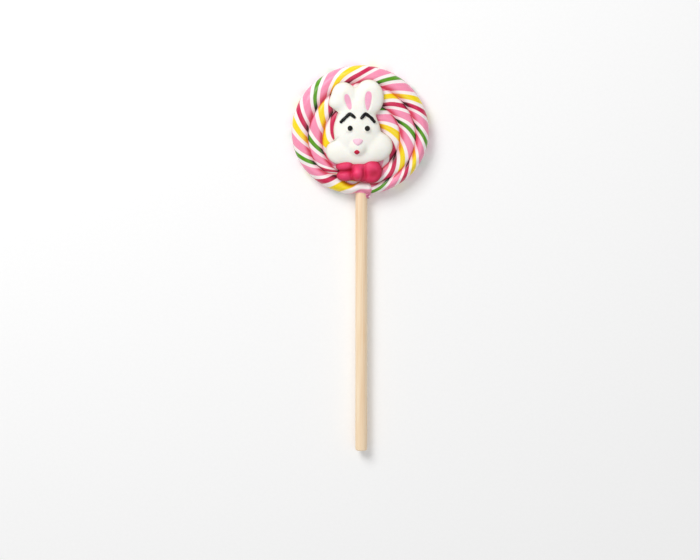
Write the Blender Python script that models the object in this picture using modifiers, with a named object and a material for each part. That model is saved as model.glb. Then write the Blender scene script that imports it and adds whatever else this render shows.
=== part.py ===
"""A swirl lollipop with an iced rabbit on its face, lying on its back.

The candy is a twisted rope of boiled sugar, coiled flat and pressed so that its turns fuse.
A round wooden stick is pushed into its lower edge. The rabbit and its bow are icing.
X is to the right, Y runs from the stick towards the top of the candy, and Z is up, out of
the rabbit's face. The origin is on the surface that the back rests on, below the middle of
the candy. Sizes below are in millimetres, and MM turns them to metres.
"""

import math

import bmesh
import bpy
import numpy as np
from mathutils import Matrix, Vector
from mathutils.bvhtree import BVHTree

MM = 0.001
GAP = 0.3

# The candy's outline and the lines between its turns, from the outside in: a mean radius,
# then how far it swings with the cosine and sine of once, twice and three times the
# clockwise angle from the top. The second line is pinched where the rope's outer end lies,
# and the outline has a notch where the stick comes out.
RINGS = (
    (34.8, -0.7, -0.4, -1.0, 0.0, 0.2, 0.0),
    (27.1, -2.8, 0.5, -0.6, 0.2, 0.5, -0.1),
    (19.5, -4.7, 0.0, -0.1, 0.5, 0.1, -0.4),
    (9.8, -3.0, 0.0, 0.0, 0.0, 0.0, 0.0),
    (0.0, 0.0, 0.0, 0.0, 0.0, 0.0, 0.0),
)
SWINGS = (1, 2, 3)
TURNS = len(RINGS) - 1
PINCH_ANGLE = math.radians(203.0)
PINCH_WIDTH = math.radians(10.0)
PINCH_DEPTH = 3.0
NOTCH_ANGLE = math.radians(181.0)
NOTCH_WIDTH = math.radians(4.5)
NOTCH_DEPTH = 1.5

# The rope's outer end lies at the bottom, over the stick. Each turn passes inwards there.
END_ANGLE = math.radians(171.0)
DIVE_LEAD = math.radians(10.0)
DIVE_SPAN = math.radians(50.0)
TIP_LENGTH = math.radians(8.0)
TIP_WIDTH = 6.2
TIP_BLEND = math.radians(40.0)

# The rope's section: the height of its crest above the middle, and the share of that height
# that is left in the grooves. The back lay soft on a table, so it is fuller and ends at z = 0,
# and its core is flat.
HALF_THICKNESS = 5.2
GROOVE_SHARE = 0.7
BACK_FULLNESS = 1.16
BACK_CORE = 3.4
CREST = 2 * HALF_THICKNESS

# The strands of the twisted rope: how far they stand proud, and the angle in which the rope
# turns once, for each turn of the coil from the outside in. A face shows twice the slant.
STRANDS = 5
STRAND_RELIEF = 0.25
STRAND_SLANT = 0.14
TWIST_ANGLES = (72.4, 96.0, 182.0, 180.0)
TWIST_START = 32.6

CANDY_SEGMENTS = 68
FRONT_STEPS = (-1.0, -0.87, -0.5, 0.0, 0.5, 0.87)
BACK_STEPS = (-1.0, -0.72, -0.35, 0.35, 0.72)
FINE_REACH = 0.9

STICK_RADIUS = 3.15
STICK_LENGTH = 162.0
STICK_INSIDE = 24.7
STICK_X = 0.25
STICK_EDGE = 0.5
STICK_SEGMENTS = 24
BORE_LEAD = 10.0

CHIP_PLACE = (3.6, -34.4, 6.3)
CHIP_RADII = (1.6, 1.8, 1.4)

# The rabbit's white icing: middle x and y, half width, half length, height, tilt. The lumps
# melt into each other. The last two are the low mounds of the eyes.
RABBIT_LUMPS = (
    (-2.0, -0.2, 11.4, 13.2, 6.4, 0),
    (-2.2, 11.2, 8.6, 6.2, 4.8, 0),
    (-8.2, 17.2, 6.9, 7.9, 4.4, 12),
    (-11.9, 14.0, 4.3, 4.9, 4.1, 20),
    (4.9, 17.8, 7.5, 8.2, 4.6, -8),
    (-12.4, -11.4, 6.7, 6.9, 5.0, -14),
    (9.4, -9.7, 7.1, 7.6, 5.2, 20),
    (-2.0, -12.2, 13.4, 6.2, 4.3, 0),
    (-1.7, -8.0, 6.0, 6.2, 7.0, 0),
    (-6.1, 0.1, 3.0, 3.0, 6.9, 0),
    (3.0, 0.1, 3.2, 3.1, 6.9, 0),
)
BOW_LUMPS = (
    (-8.2, -18.6, 4.9, 2.8, 4.4, 12),
    (-8.0, -23.8, 4.9, 3.1, 4.2, -4),
    (5.9, -21.3, 5.6, 5.9, 4.9, 0),
    (-1.4, -22.3, 3.6, 4.1, 5.4, 0),
)
LUMP_SINK = 1.2
FINENESS = 0.8
RABBIT_MELTING = 7
RABBIT_FACES = 0.3
BOW_MELTING = 2
BOW_FACES = 0.5

# Small iced details: name, middle x and y, half width, half length, rise, tilt, material.
DETAILS = (
    ("ear_inside_left", -6.7, 14.8, 1.8, 4.5, 1.0, 16, "pink_icing"),
    ("ear_inside_right", 3.6, 15.3, 1.9, 5.0, 1.0, -6, "pink_icing"),
    ("nose", -1.6, -6.4, 2.4, 1.8, 1.3, 0, "nose_icing"),
    ("mouth", -2.1, -11.4, 1.6, 1.3, 1.3, 0, "mouth_icing"),
    ("pupil_left", -5.5, 0.8, 1.4, 1.4, 1.3, 0, "black_icing"),
    ("pupil_right", 3.4, 0.7, 1.4, 1.4, 1.3, 0, "black_icing"),
)
BROWS = (
    ("brow_left", ((-10.6, 4.1), (-10.2, 4.5), (-8.4, 6.1), (-6.2, 8.2), (-3.9, 6.8), (-3.5, 6.4))),
    ("brow_right", ((0.0, 6.1), (0.4, 6.5), (2.4, 8.3), (5.2, 6.5), (6.9, 4.6), (7.2, 4.1))),
)
BROW_RADIUS = 0.75
BROW_ENDS = 0.55
BROW_RISE = 0.5

# Each material's colour, roughness and metallic value.
MATERIALS = {
    "striped_candy": ((0.93, 0.35, 0.50), 0.2, 0.0),
    "birch_wood": ((0.85, 0.66, 0.42), 0.7, 0.0),
    "white_icing": ((0.93, 0.91, 0.85), 0.55, 0.0),
    "pink_icing": ((0.93, 0.50, 0.66), 0.55, 0.0),
    "nose_icing": ((0.96, 0.66, 0.76), 0.5, 0.0),
    "mouth_icing": ((0.72, 0.07, 0.20), 0.5, 0.0),
    "black_icing": ((0.01, 0.01, 0.01), 0.35, 0.0),
    "red_icing": ((0.78, 0.05, 0.17), 0.45, 0.0),
}


def smooth_step(t):
    """0 below 0, 1 above 1, and an even S between."""
    t = np.clip(t, 0.0, 1.0)
    return t * t * (3 - 2 * t)


def bell(angle, middle, width, height):
    """A bell curve over an angle, of the given height at its middle."""
    away = np.mod(angle - middle + math.pi, math.tau) - math.pi
    return height * np.exp(-0.5 * (away / width) ** 2)


def ring(k, angle):
    """Radius of ring k, from the outline (0) to the middle (TURNS), at clockwise angles."""
    k = np.clip(k, 0, TURNS).astype(int)
    row = np.array(RINGS)[k]
    radius = row[..., 0]
    for n in SWINGS:
        radius = radius + row[..., 2 * n - 1] * np.cos(n * angle) + row[..., 2 * n] * np.sin(n * angle)
    pinch = bell(angle, PINCH_ANGLE, PINCH_WIDTH, PINCH_DEPTH)
    notch = bell(angle, NOTCH_ANGLE, NOTCH_WIDTH, NOTCH_DEPTH)
    return radius - np.select([k == 0, k == 1], [notch, pinch], 0.0)


def rope_edge(along):
    """Outer edge of the rope, at an angle along it that runs clockwise from its outer end."""
    shifted = along + DIVE_LEAD
    k = np.floor(shifted / math.tau)
    span = np.where(k < TURNS, DIVE_SPAN, math.tau)
    t = smooth_step((shifted - k * math.tau) / span)
    t = np.where(k > 0, t, 1.0)
    angle = along + END_ANGLE
    return ring(k - 1, angle) * (1 - t) + ring(k, angle) * t


def turned(angle):
    """Clockwise angle from the rope's outer end, from 0 to a full turn."""
    return np.mod(angle - END_ANGLE, math.tau)


def rope_tip(angle):
    """The rope's outer end: its inner and outer edge, and its size there from 0 to 1."""
    along = turned(angle)
    outer = ring(np.zeros_like(angle), angle)
    own = outer - TIP_WIDTH
    t = smooth_step(along / TIP_BLEND)
    inner = own * (1 - t) + rope_edge(along + math.tau) * t
    size = np.sqrt(np.clip(1 - (1 - np.clip(along / TIP_LENGTH, 0, 1)) ** 2, 0, 1))
    middle, half = (outer + inner) / 2, (outer - inner) / 2 * size
    return middle - half, middle + half, size


def outline(angle):
    """The candy's outer edge, with the small step at the rope's outer end."""
    along = turned(angle)
    covered = np.where(along < TIP_LENGTH, rope_edge(along + math.tau), 0.0)
    own = np.where(along < TIP_LENGTH, rope_tip(angle)[1], rope_edge(along))
    return np.maximum(own, covered)


def twist_turns(along):
    """How many times the rope has turned about its own line, from its outer end."""
    ends = np.arange(TURNS + 1) * math.tau
    steps = math.tau / np.radians(TWIST_ANGLES)
    totals = np.concatenate(([0.0], np.cumsum(steps)))
    start = math.radians(TWIST_START) / math.radians(TWIST_ANGLES[0]) + 0.25
    return np.interp(along, ends, totals) - start


def section(r, inner, outer, along, back, outside):
    """Height of the rope over the middle plane at radius r, as a share of its crest."""
    x = np.clip((2 * r - inner - outer) / np.maximum(outer - inner, 1e-9), -1.0, 1.0)
    dome = np.sqrt(1 - x * x)
    low = np.where(outside & (x > 0), 0.0, GROOVE_SHARE)
    around = 0.25 - STRAND_SLANT * x
    around = 1 - around if back else around
    strand = np.abs(np.cos(math.pi * STRANDS * (around + twist_turns(along))))
    relief = STRAND_RELIEF / HALF_THICKNESS * (1 - strand) * dome ** 0.5
    return low + (1 - low) * dome - relief


def candy_height(angle, r, back):
    """Height of the candy's face over its middle plane, in millimetres."""
    along = turned(angle)
    share = np.zeros_like(r)
    for lap in range(TURNS + 1):
        here = along + lap * math.tau
        inner, outer = rope_edge(here + math.tau), rope_edge(here)
        inside = (r >= inner - 0.001) & (r <= outer + 0.001)
        h = section(r, inner, outer, here, back, np.full(r.shape, lap == 0))
        share = np.where(inside, np.maximum(share, h), share)
    inner, outer, size = rope_tip(angle)
    over = (along < TIP_BLEND) & (r > inner) & (r < outer)
    h = section(r, inner, outer, along, back, np.full(r.shape, True)) * size
    floor = np.where(r > rope_edge(along + math.tau), 0.0, GROOVE_SHARE)
    share = np.where(over, np.maximum(h, floor), share)
    if back:
        share = np.where(r < BACK_CORE, 1.0, np.minimum(share * BACK_FULLNESS, 1.0))
    return share * HALF_THICKNESS


def material(name):
    """The named material, made once."""
    found = bpy.data.materials.get(name)
    if found:
        return found
    colour, roughness, metallic = MATERIALS[name]
    made = bpy.data.materials.new(name)
    made.use_nodes = True
    shader = made.node_tree.nodes["Principled BSDF"]
    shader.inputs["Base Color"].default_value = (*colour, 1.0)
    shader.inputs["Roughness"].default_value = roughness
    shader.inputs["Metallic"].default_value = metallic
    made.diffuse_color = (*colour, 1.0)
    return made


def add_object(name, mesh, collection, material_name=None):
    """An object for a mesh, in a collection, with its material."""
    made = bpy.data.objects.new(name, mesh)
    collection.objects.link(made)
    if material_name:
        mesh.materials.append(material(material_name))
    return made


def mesh_from(bm, name):
    """A mesh from a bmesh, shaded smooth below 40 degrees."""
    mesh = bpy.data.meshes.new(name)
    bm.to_mesh(mesh)
    bm.free()
    mesh.shade_smooth()
    mesh.set_sharp_from_angle(angle=math.radians(40))
    return mesh


def combine(target, others, operation):
    """Joins or cuts target by a collection with one Boolean, applied, and removes the others."""
    tools = bpy.data.collections.new(target.name + "_tools")
    for other in others:
        for home in list(other.users_collection):
            home.objects.unlink(other)
        tools.objects.link(other)
    bpy.context.scene.collection.children.link(tools)
    modifier = target.modifiers.new(operation.lower(), "BOOLEAN")
    modifier.operand_type = "COLLECTION"
    modifier.collection = tools
    modifier.operation = operation
    modifier.solver = "EXACT"
    bpy.context.view_layer.update()
    depsgraph = bpy.context.evaluated_depsgraph_get()
    done = bpy.data.meshes.new_from_object(target.evaluated_get(depsgraph))
    target.modifiers.remove(modifier)
    target.data = done
    for other in others:
        bpy.data.objects.remove(other)
    bpy.data.collections.remove(tools)


def ellipsoid(name, place, radii, tilt, collection, segments=16, rings=8):
    """A sphere scaled to three half sizes in millimetres, turned about Z by tilt in degrees."""
    bm = bmesh.new()
    bmesh.ops.create_uvsphere(bm, u_segments=segments, v_segments=rings, radius=1.0)
    size = Matrix.Diagonal((*(Vector(radii) * MM), 1.0))
    turn = Matrix.Rotation(math.radians(tilt), 4, "Z")
    move = Matrix.Translation(Vector(place) * MM)
    bmesh.ops.transform(bm, matrix=move @ turn @ size, verts=bm.verts)
    return add_object(name, mesh_from(bm, name), collection)


def cylinder(name, radius, start, end, collection):
    """A cylinder along Y from start to end, all in millimetres, on the stick's line."""
    bm = bmesh.new()
    bmesh.ops.create_cone(
        bm,
        cap_ends=True,
        segments=STICK_SEGMENTS,
        radius1=radius * MM,
        radius2=radius * MM,
        depth=(end - start) * MM,
        matrix=Matrix.Translation(Vector((STICK_X, (start + end) / 2, HALF_THICKNESS)) * MM)
        @ Matrix.Rotation(math.radians(90), 4, "X"),
    )
    return add_object(name, mesh_from(bm, name), collection)


def box_below(top, collection):
    """A large block whose upper face is at height top, to cut a flat underside."""
    size = 0.2
    bm = bmesh.new()
    place = Matrix.Translation((0, 0, top * MM - size / 2))
    bmesh.ops.create_cube(bm, size=size, matrix=place)
    return add_object("underside_cutter", mesh_from(bm, "underside_cutter"), collection)


def near_rope_end(co):
    """Whether a point of the sphere is in the sector where the turns pass inwards."""
    away = math.remainder(math.atan2(co.x, co.y) - END_ANGLE - DIVE_SPAN / 2 + DIVE_LEAD, math.tau)
    return abs(away) < DIVE_SPAN / 2 and abs(co.z) < FINE_REACH


def make_candy(collection):
    """The coiled rope: a sphere whose rings become the candy's rings, front and back."""
    front = len(FRONT_STEPS) * TURNS
    back = len(BACK_STEPS) * TURNS
    bm = bmesh.new()
    bmesh.ops.create_uvsphere(
        bm, u_segments=CANDY_SEGMENTS, v_segments=front + back, radius=1.0
    )
    edges = [e for e in bm.edges if near_rope_end(e.verts[0].co) and near_rope_end(e.verts[1].co)]
    bmesh.ops.subdivide_edges(bm, edges=edges, cuts=1, use_grid_fill=True)
    verts = list(bm.verts)
    place = np.array([v.co.normalized() for v in verts])
    level = np.arccos(np.clip(place[:, 2], -1, 1)) / math.pi * (front + back)
    level = np.rint(level * 4) / 4
    angle = np.mod(np.arctan2(place[:, 0], place[:, 1]), math.tau)
    for is_back, steps in ((False, FRONT_STEPS), (True, BACK_STEPS)):
        count = len(steps)
        mine = level > front if is_back else level <= front
        rank = (front + back - level if is_back else level)[mine]
        a = angle[mine]
        turn = np.floor(rank / count)
        step = np.interp(rank - turn * count, np.arange(count + 1), (*steps, 1.0))
        edges = [ring(TURNS - turn, a), ring(TURNS - turn - 1, a)]
        edges = [np.where(TURNS - turn - i == 0, outline(a), e) for i, e in enumerate(edges)]
        r = edges[0] + (edges[1] - edges[0]) * (step + 1) / 2
        h = candy_height(a, r, is_back)
        place[mine, 0] = r * np.sin(a)
        place[mine, 1] = r * np.cos(a)
        place[mine, 2] = HALF_THICKNESS + (-h if is_back else h)
        rim = mine & (level == front)
        place[rim, 2] = HALF_THICKNESS
    for v, co in zip(verts, place):
        v.co = Vector(co) * MM
    bmesh.ops.triangulate(bm, faces=bm.faces)
    candy = add_object("candy_swirl", mesh_from(bm, "candy_swirl"), collection, "striped_candy")
    chip = ellipsoid("chip", CHIP_PLACE, CHIP_RADII, 35, collection, 10, 6)
    combine(candy, [chip], "UNION")
    bottom = -float(outline(np.array([math.pi]))[0])
    depth = bottom + STICK_INSIDE + GAP
    bore = cylinder("bore", STICK_RADIUS + GAP, bottom - BORE_LEAD, depth, collection)
    combine(candy, [bore], "DIFFERENCE")
    return bottom


def make_stick(bottom, collection):
    """The round wooden stick, its ends lightly rounded."""
    end = bottom + STICK_INSIDE
    stick = cylinder("stick", STICK_RADIUS, end - STICK_LENGTH, end, collection)
    stick.data.materials.append(material("birch_wood"))
    edge = stick.modifiers.new("rounded_ends", "BEVEL")
    edge.width = STICK_EDGE * MM
    edge.segments = 2
    edge.limit_method = "ANGLE"
    edge.angle_limit = math.radians(60)


def melted(name, rows, melting, faces, material_name, collection):
    """Lumps of icing run together into one soft shape, flat below, resting on the candy."""
    bm = bmesh.new()
    for x, y, w, length, height, tilt in rows:
        lump = bmesh.ops.create_uvsphere(bm, u_segments=32, v_segments=20, radius=1.0)["verts"]
        size = Matrix.Diagonal((*(Vector((w, length, height - LUMP_SINK)) * MM), 1.0))
        turn = Matrix.Rotation(math.radians(tilt), 4, "Z")
        move = Matrix.Translation(Vector((x, y, CREST + GAP + LUMP_SINK)) * MM)
        bmesh.ops.transform(bm, matrix=move @ turn @ size, verts=lump)
    made = add_object(name, mesh_from(bm, name), collection)
    skin = made.modifiers.new("one_skin", "REMESH")
    skin.mode = "VOXEL"
    skin.voxel_size = FINENESS * MM
    soften = made.modifiers.new("melt", "SMOOTH")
    soften.iterations = melting
    fewer = made.modifiers.new("fewer_faces", "DECIMATE")
    fewer.ratio = faces
    bpy.context.view_layer.update()
    depsgraph = bpy.context.evaluated_depsgraph_get()
    done = bpy.data.meshes.new_from_object(made.evaluated_get(depsgraph))
    made.modifiers.clear()
    made.data = done
    combine(made, [box_below(CREST + GAP, collection)], "DIFFERENCE")
    named(made, name, material_name)
    return made


def named(piece, name, material_name):
    """Gives a finished piece its name, its one material and smooth shading."""
    piece.name = name
    piece.data.name = name
    piece.data.materials.clear()
    piece.data.materials.append(material(material_name))
    piece.data.shade_smooth()
    piece.data.set_sharp_from_angle(angle=math.radians(40))


def grown(piece, collection):
    """A copy of a piece, larger by the gap on every side."""
    space = add_object(piece.name + "_space", piece.data.copy(), collection)
    bm = bmesh.new()
    bm.from_mesh(space.data)
    for v in bm.verts:
        v.co += v.normal * GAP * MM
    bm.to_mesh(space.data)
    bm.free()
    return space


def make_rabbit(collection):
    """The white body and the bow, each clear of the other."""
    bow = melted("bow_tie", BOW_LUMPS, BOW_MELTING, BOW_FACES, "red_icing", collection)
    body = melted(
        "rabbit_body", RABBIT_LUMPS, RABBIT_MELTING, RABBIT_FACES, "white_icing", collection
    )
    combine(body, [grown(bow, collection)], "DIFFERENCE")
    return body


def height_on(body):
    """A function that gives the height of a piece's top at x, y, all in millimetres."""
    tree = BVHTree.FromPolygons(
        [v.co for v in body.data.vertices], [p.vertices for p in body.data.polygons]
    )

    def height(x, y):
        hit = tree.ray_cast(Vector((x * MM, y * MM, 0.1)), Vector((0, 0, -1)))[0]
        return hit.z / MM

    return height


def make_details(body, collection):
    """Inner ears, nose, mouth and pupils, laid on the white icing."""
    height = height_on(body)
    for name, x, y, w, length, rise, tilt, material_name in DETAILS:
        spot = ellipsoid(name, (x, y, height(x, y)), (w, length, rise), tilt, collection)
        combine(spot, [grown(body, collection)], "DIFFERENCE")
        named(spot, name, material_name)


def make_brows(body, collection):
    """Piped black lines, bent once, above the eyes."""
    height = height_on(body)
    for name, points in BROWS:
        path = bpy.data.curves.new(name, "CURVE")
        path.dimensions = "3D"
        path.bevel_depth = BROW_RADIUS * MM
        path.bevel_resolution = 2
        path.use_fill_caps = True
        line = path.splines.new("POLY")
        line.points.add(len(points) - 1)
        for point, (x, y) in zip(line.points, points):
            point.co = (x * MM, y * MM, (height(x, y) + BROW_RISE) * MM, 1)
        line.points[0].radius = BROW_ENDS
        line.points[-1].radius = BROW_ENDS
        guide = bpy.data.objects.new(name + "_line", path)
        collection.objects.link(guide)
        bpy.context.view_layer.update()
        depsgraph = bpy.context.evaluated_depsgraph_get()
        mesh = bpy.data.meshes.new_from_object(guide.evaluated_get(depsgraph))
        bm = bmesh.new()
        bm.from_mesh(mesh)
        bmesh.ops.remove_doubles(bm, verts=bm.verts, dist=0.00001)
        brow = add_object(name, mesh_from(bm, name), collection)
        bpy.data.objects.remove(guide)
        combine(brow, [grown(body, collection)], "DIFFERENCE")
        named(brow, name, "black_icing")


def main():
    """Builds every piece in an empty scene."""
    for old in list(bpy.data.objects):
        bpy.data.objects.remove(old)
    collection = bpy.data.collections.new("lollipop")
    bpy.context.scene.collection.children.link(collection)
    bottom = make_candy(collection)
    make_stick(bottom, collection)
    body = make_rabbit(collection)
    make_details(body, collection)
    make_brows(body, collection)


main()
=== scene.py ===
# %% [markdown]
# # A swirl lollipop with an iced rabbit
# The real one is a rope of boiled sugar, striped, twisted and coiled flat while it is warm.
# A wooden stick is pushed into its edge, and a rabbit of icing is piped on its face. The
# solid model is loaded first as a fixed frame. Every piece below is placed in the frame's
# own coordinates, with X to the right, Y up the stick and Z out of the rabbit's face.

# %% Load the frame
import math

import bpy
import numpy as np
from mathutils import Matrix, Vector


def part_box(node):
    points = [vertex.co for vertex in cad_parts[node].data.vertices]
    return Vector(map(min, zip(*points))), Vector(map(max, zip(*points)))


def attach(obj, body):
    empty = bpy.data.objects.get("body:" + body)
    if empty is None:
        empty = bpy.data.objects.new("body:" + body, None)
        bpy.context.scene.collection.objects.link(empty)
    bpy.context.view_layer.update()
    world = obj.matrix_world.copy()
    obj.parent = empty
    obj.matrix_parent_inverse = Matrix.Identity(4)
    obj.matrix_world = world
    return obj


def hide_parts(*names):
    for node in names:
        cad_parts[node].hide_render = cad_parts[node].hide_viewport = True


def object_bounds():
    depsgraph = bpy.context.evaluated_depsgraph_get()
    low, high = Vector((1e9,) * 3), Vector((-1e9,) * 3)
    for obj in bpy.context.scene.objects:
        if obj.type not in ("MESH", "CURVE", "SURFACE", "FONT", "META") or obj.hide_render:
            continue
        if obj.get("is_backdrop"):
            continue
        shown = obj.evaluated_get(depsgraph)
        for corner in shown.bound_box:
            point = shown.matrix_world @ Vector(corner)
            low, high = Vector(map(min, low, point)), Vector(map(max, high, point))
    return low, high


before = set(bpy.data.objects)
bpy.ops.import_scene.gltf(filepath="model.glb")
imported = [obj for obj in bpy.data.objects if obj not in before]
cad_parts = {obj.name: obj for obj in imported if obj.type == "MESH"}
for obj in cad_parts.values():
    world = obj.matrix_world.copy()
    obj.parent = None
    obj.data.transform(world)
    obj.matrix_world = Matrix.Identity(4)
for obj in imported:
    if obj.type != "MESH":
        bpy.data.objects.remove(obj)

cad_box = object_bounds()
MM = 0.001
print("nodes of the frame:", ", ".join(sorted(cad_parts)))

# %% [markdown]
# ## Small helpers
# Colours are picked as sRGB hex values, as a painter's chart gives them, but the renderer
# counts in linear light, so one function turns them over. A second function adds a shader
# node with all its settings, which keeps each material below short enough to read. Every
# pattern is given by the size of its lumps or fibres in millimetres. A last one joins a
# grid of points to a closed skin, since every piece here is bent in its own way, and a
# formula for its points says how more plainly than a bent primitive would.


# %% Colours and nodes
def colour(code):
    """Linear colour of an sRGB hex value: a power of 2.4 above 0.04045, a division below it."""
    srgb = np.array([int(code[i : i + 2], 16) for i in (0, 2, 4)]) / 255
    linear = np.where(srgb <= 0.04045, srgb / 12.92, ((srgb + 0.055) / 1.055) ** 2.4)
    return (*linear.tolist(), 1.0)


def per_metre(size):
    """Scale of a noise whose lumps are a size in millimetres wide: one over it in metres."""
    return 1 / (size * MM)


def node(tree, kind, inputs=None, stops=(), **settings):
    """Adds a node: settings go to its properties, inputs are values or sockets to link."""
    made = tree.nodes.new("ShaderNode" + kind)
    for name, value in settings.items():
        setattr(made, name, value)
    for name, value in (inputs or {}).items():
        if isinstance(value, bpy.types.NodeSocket):
            tree.links.new(value, made.inputs[name])
        else:
            made.inputs[name].default_value = value
    if stops:
        ramp = made.color_ramp.elements
        ramp.remove(ramp[1])
        for place, shade in stops:
            stop = ramp[0] if place == stops[0][0] else ramp.new(place)
            stop.position, stop.color = place, colour(shade)
    return made


def blank_material(name):
    """A material with an empty Principled shader, its tree and the shader."""
    made = bpy.data.materials.new(name)
    made.use_nodes = True
    return made, made.node_tree, made.node_tree.nodes["Principled BSDF"]


# The Mix node has several inputs of one name, so its colour sockets are found by number. The
# inputs of Map Range are its value, the two limits it comes from and the two it goes to.
MIX_A, MIX_B, MIX_RESULT = 6, 7, 2
print("pink in linear light:", [round(value, 3) for value in colour("f893b4")])


# %% A closed skin over a grid of points
def skin(name, points, ends, stripes=None, depth=None):
    """A closed mesh over a grid of points in millimetres.

    Each row of the grid is a closed loop, and the rows follow one another like hoops. A fan of
    triangles joins the first and the last hoop to the two end points. Six times the volume
    is the sum of a . (b x c) over the triangles, and where that is negative all faces turn.
    """
    rows, columns = points.shape[:2]
    corner = np.arange(rows * columns).reshape(rows, columns)
    right = np.roll(corner, -1, axis=1)
    first, last = np.full(columns, rows * columns), np.full(columns, rows * columns + 1)
    quads = np.stack([corner[:-1], corner[1:], right[1:], right[:-1]], -1).reshape(-1, 4)
    first_fan = np.stack([first, corner[0], right[0]], -1)
    last_fan = np.stack([last, right[-1], corner[-1]], -1)
    fans = np.concatenate([first_fan, last_fan])
    verts = np.concatenate([points.reshape(-1, 3), np.asarray(ends, float)]) * MM
    triangles = np.concatenate([quads[:, :3], quads[:, [0, 2, 3]], fans])
    a, b, c = (verts[triangles[:, i]] for i in range(3))
    turn = -1 if np.einsum("ij,ij->i", a, np.cross(b, c)).sum() < 0 else 1
    mesh = bpy.data.meshes.new(name)
    mesh.from_pydata(verts.tolist(), [], quads[:, ::turn].tolist() + fans[:, ::turn].tolist())
    mesh.shade_smooth()
    if stripes is not None:
        s = stripes
        sides = [s[:-1, :-1], s[1:, :-1], s[1:, 1:], s[:-1, 1:]]
        on_quads = np.stack(sides, 2).reshape(-1, 4, 2)[:, ::turn]
        tips = [(row[:-1] + row[1:]) / 2 for row in (s[0], s[-1])]
        on_first = np.stack([tips[0], s[0, :-1], s[0, 1:]], 1)
        on_last = np.stack([tips[1], s[-1, 1:], s[-1, :-1]], 1)
        on_fans = np.concatenate([on_first, on_last])[:, ::turn]
        flat = np.concatenate([on_quads.reshape(-1), on_fans.reshape(-1)])
        mesh.uv_layers.new(name="rope").uv.foreach_set("vector", flat.astype(np.float32))
    # The depth attribute carries the painted shade that the materials mix in.
    if depth is not None:
        values = np.concatenate([depth.reshape(-1), [0.0, 0.0]]).astype(np.float32)
        mesh.attributes.new("depth", "FLOAT", "POINT").data.foreach_set("value", values)
    piece = bpy.data.objects.new(name, mesh)
    bpy.context.scene.collection.objects.link(piece)
    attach(piece, "root")
    size = verts.max(axis=0) - verts.min(axis=0)
    print(name, "faces", len(mesh.polygons), "size in mm", (size / MM).round(1).tolist())
    return piece


def finish(piece, material, slot, *nodes):
    """Gives a piece its material and hides the solids it stands for; the slot is not used."""
    piece.data.materials.append(material)
    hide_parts(*nodes)


# %% [markdown]
# ## The coil's plan
# Seen from the front, the candy is one rope that runs inwards in four turns and a curled
# tail. The lines between its turns are nearly circles, so each is a mean radius with a few
# slow waves added, counted with the clockwise angle from the top. A spiral of even pitch
# would be simpler, but a hand-laid coil is not even: each turn passes inwards in one short
# stretch near the stick, where the rope's outer end was pressed down.

# %% Lines between the turns
# Each line: mean radius in mm, then cosine and sine of once, twice and three times the angle.
RINGS = (
    (34.8, -0.7, -0.4, -1.0, 0.0, 0.2, 0.0),
    (27.1, -2.8, 0.5, -0.6, 0.2, 0.5, -0.1),
    (19.5, -4.7, 0.0, -0.1, 0.5, 0.1, -0.4),
    (9.8, -3.0, 0.0, 0.0, 0.0, 0.0, 0.0),
    (0.0, 0.0, 0.0, 0.0, 0.0, 0.0, 0.0),
)
TURNS = len(RINGS) - 1
ROPE_END = math.radians(171)
DIVE_LEAD, DIVE_SPAN = math.radians(10), math.radians(50)
PINCH_PLACE, PINCH_WIDTH, PINCH_DEPTH = math.radians(203), math.radians(10), 3.0
NOTCH_PLACE, NOTCH_WIDTH, NOTCH_DEPTH = math.radians(181), math.radians(4.5), 1.5


def smooth_step(t):
    """An S from 0 to 1: three t squared less two t cubed, held level on both sides."""
    t = np.clip(t, 0.0, 1.0)
    return t * t * (3 - 2 * t)


def bell(angle, middle, width, height):
    """A bell curve over an angle: height times exp(-d^2 / 2), with d counted in widths."""
    away = np.remainder(angle - middle + math.pi, math.tau) - math.pi
    return height * np.exp(-0.5 * (away / width) ** 2)


def ring(k, angle):
    """Radius of line k: its mean plus cosine and sine waves of 1, 2 and 3 times the angle.

    A bell curve notches the outline over the stick, and another pinches the line inside it.
    """
    k = np.clip(k, 0, TURNS).astype(int)
    row = np.array(RINGS)[k]
    n = np.array((1, 2, 3)) * angle[..., None]
    waves = (row[..., 1::2] * np.cos(n) + row[..., 2::2] * np.sin(n)).sum(axis=-1)
    pinch = bell(angle, PINCH_PLACE, PINCH_WIDTH, PINCH_DEPTH)
    notch = bell(angle, NOTCH_PLACE, NOTCH_WIDTH, NOTCH_DEPTH)
    return row[..., 0] + waves - np.select([k == 0, k == 1], [notch, pinch], 0.0)


def rope_edge(along):
    """Outer edge of the rope at an angle along it: line k, with an S from line k - 1."""
    shifted = along + DIVE_LEAD
    k = np.floor(shifted / math.tau)
    span = np.where(k < TURNS, DIVE_SPAN, math.tau)
    t = np.where(k > 0, smooth_step((shifted - k * math.tau) / span), 1.0)
    angle = along + ROPE_END
    return ring(k - 1, angle) * (1 - t) + ring(k, angle) * t


print("turns:", TURNS, "mean radius of the outline in mm:", RINGS[0][0])

# %% [markdown]
# ## The twist
# Five strands of the striped rope stand proud like the strands of a cord, and every stripe
# runs round the rope as it is twisted. How fast it was twisted decides how steep the
# stripes lie: about five full twists in the outer turn, and fewer in each turn inside it.
# The twist is given as pairs of the angle along the rope and the number of turns so far.

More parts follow.
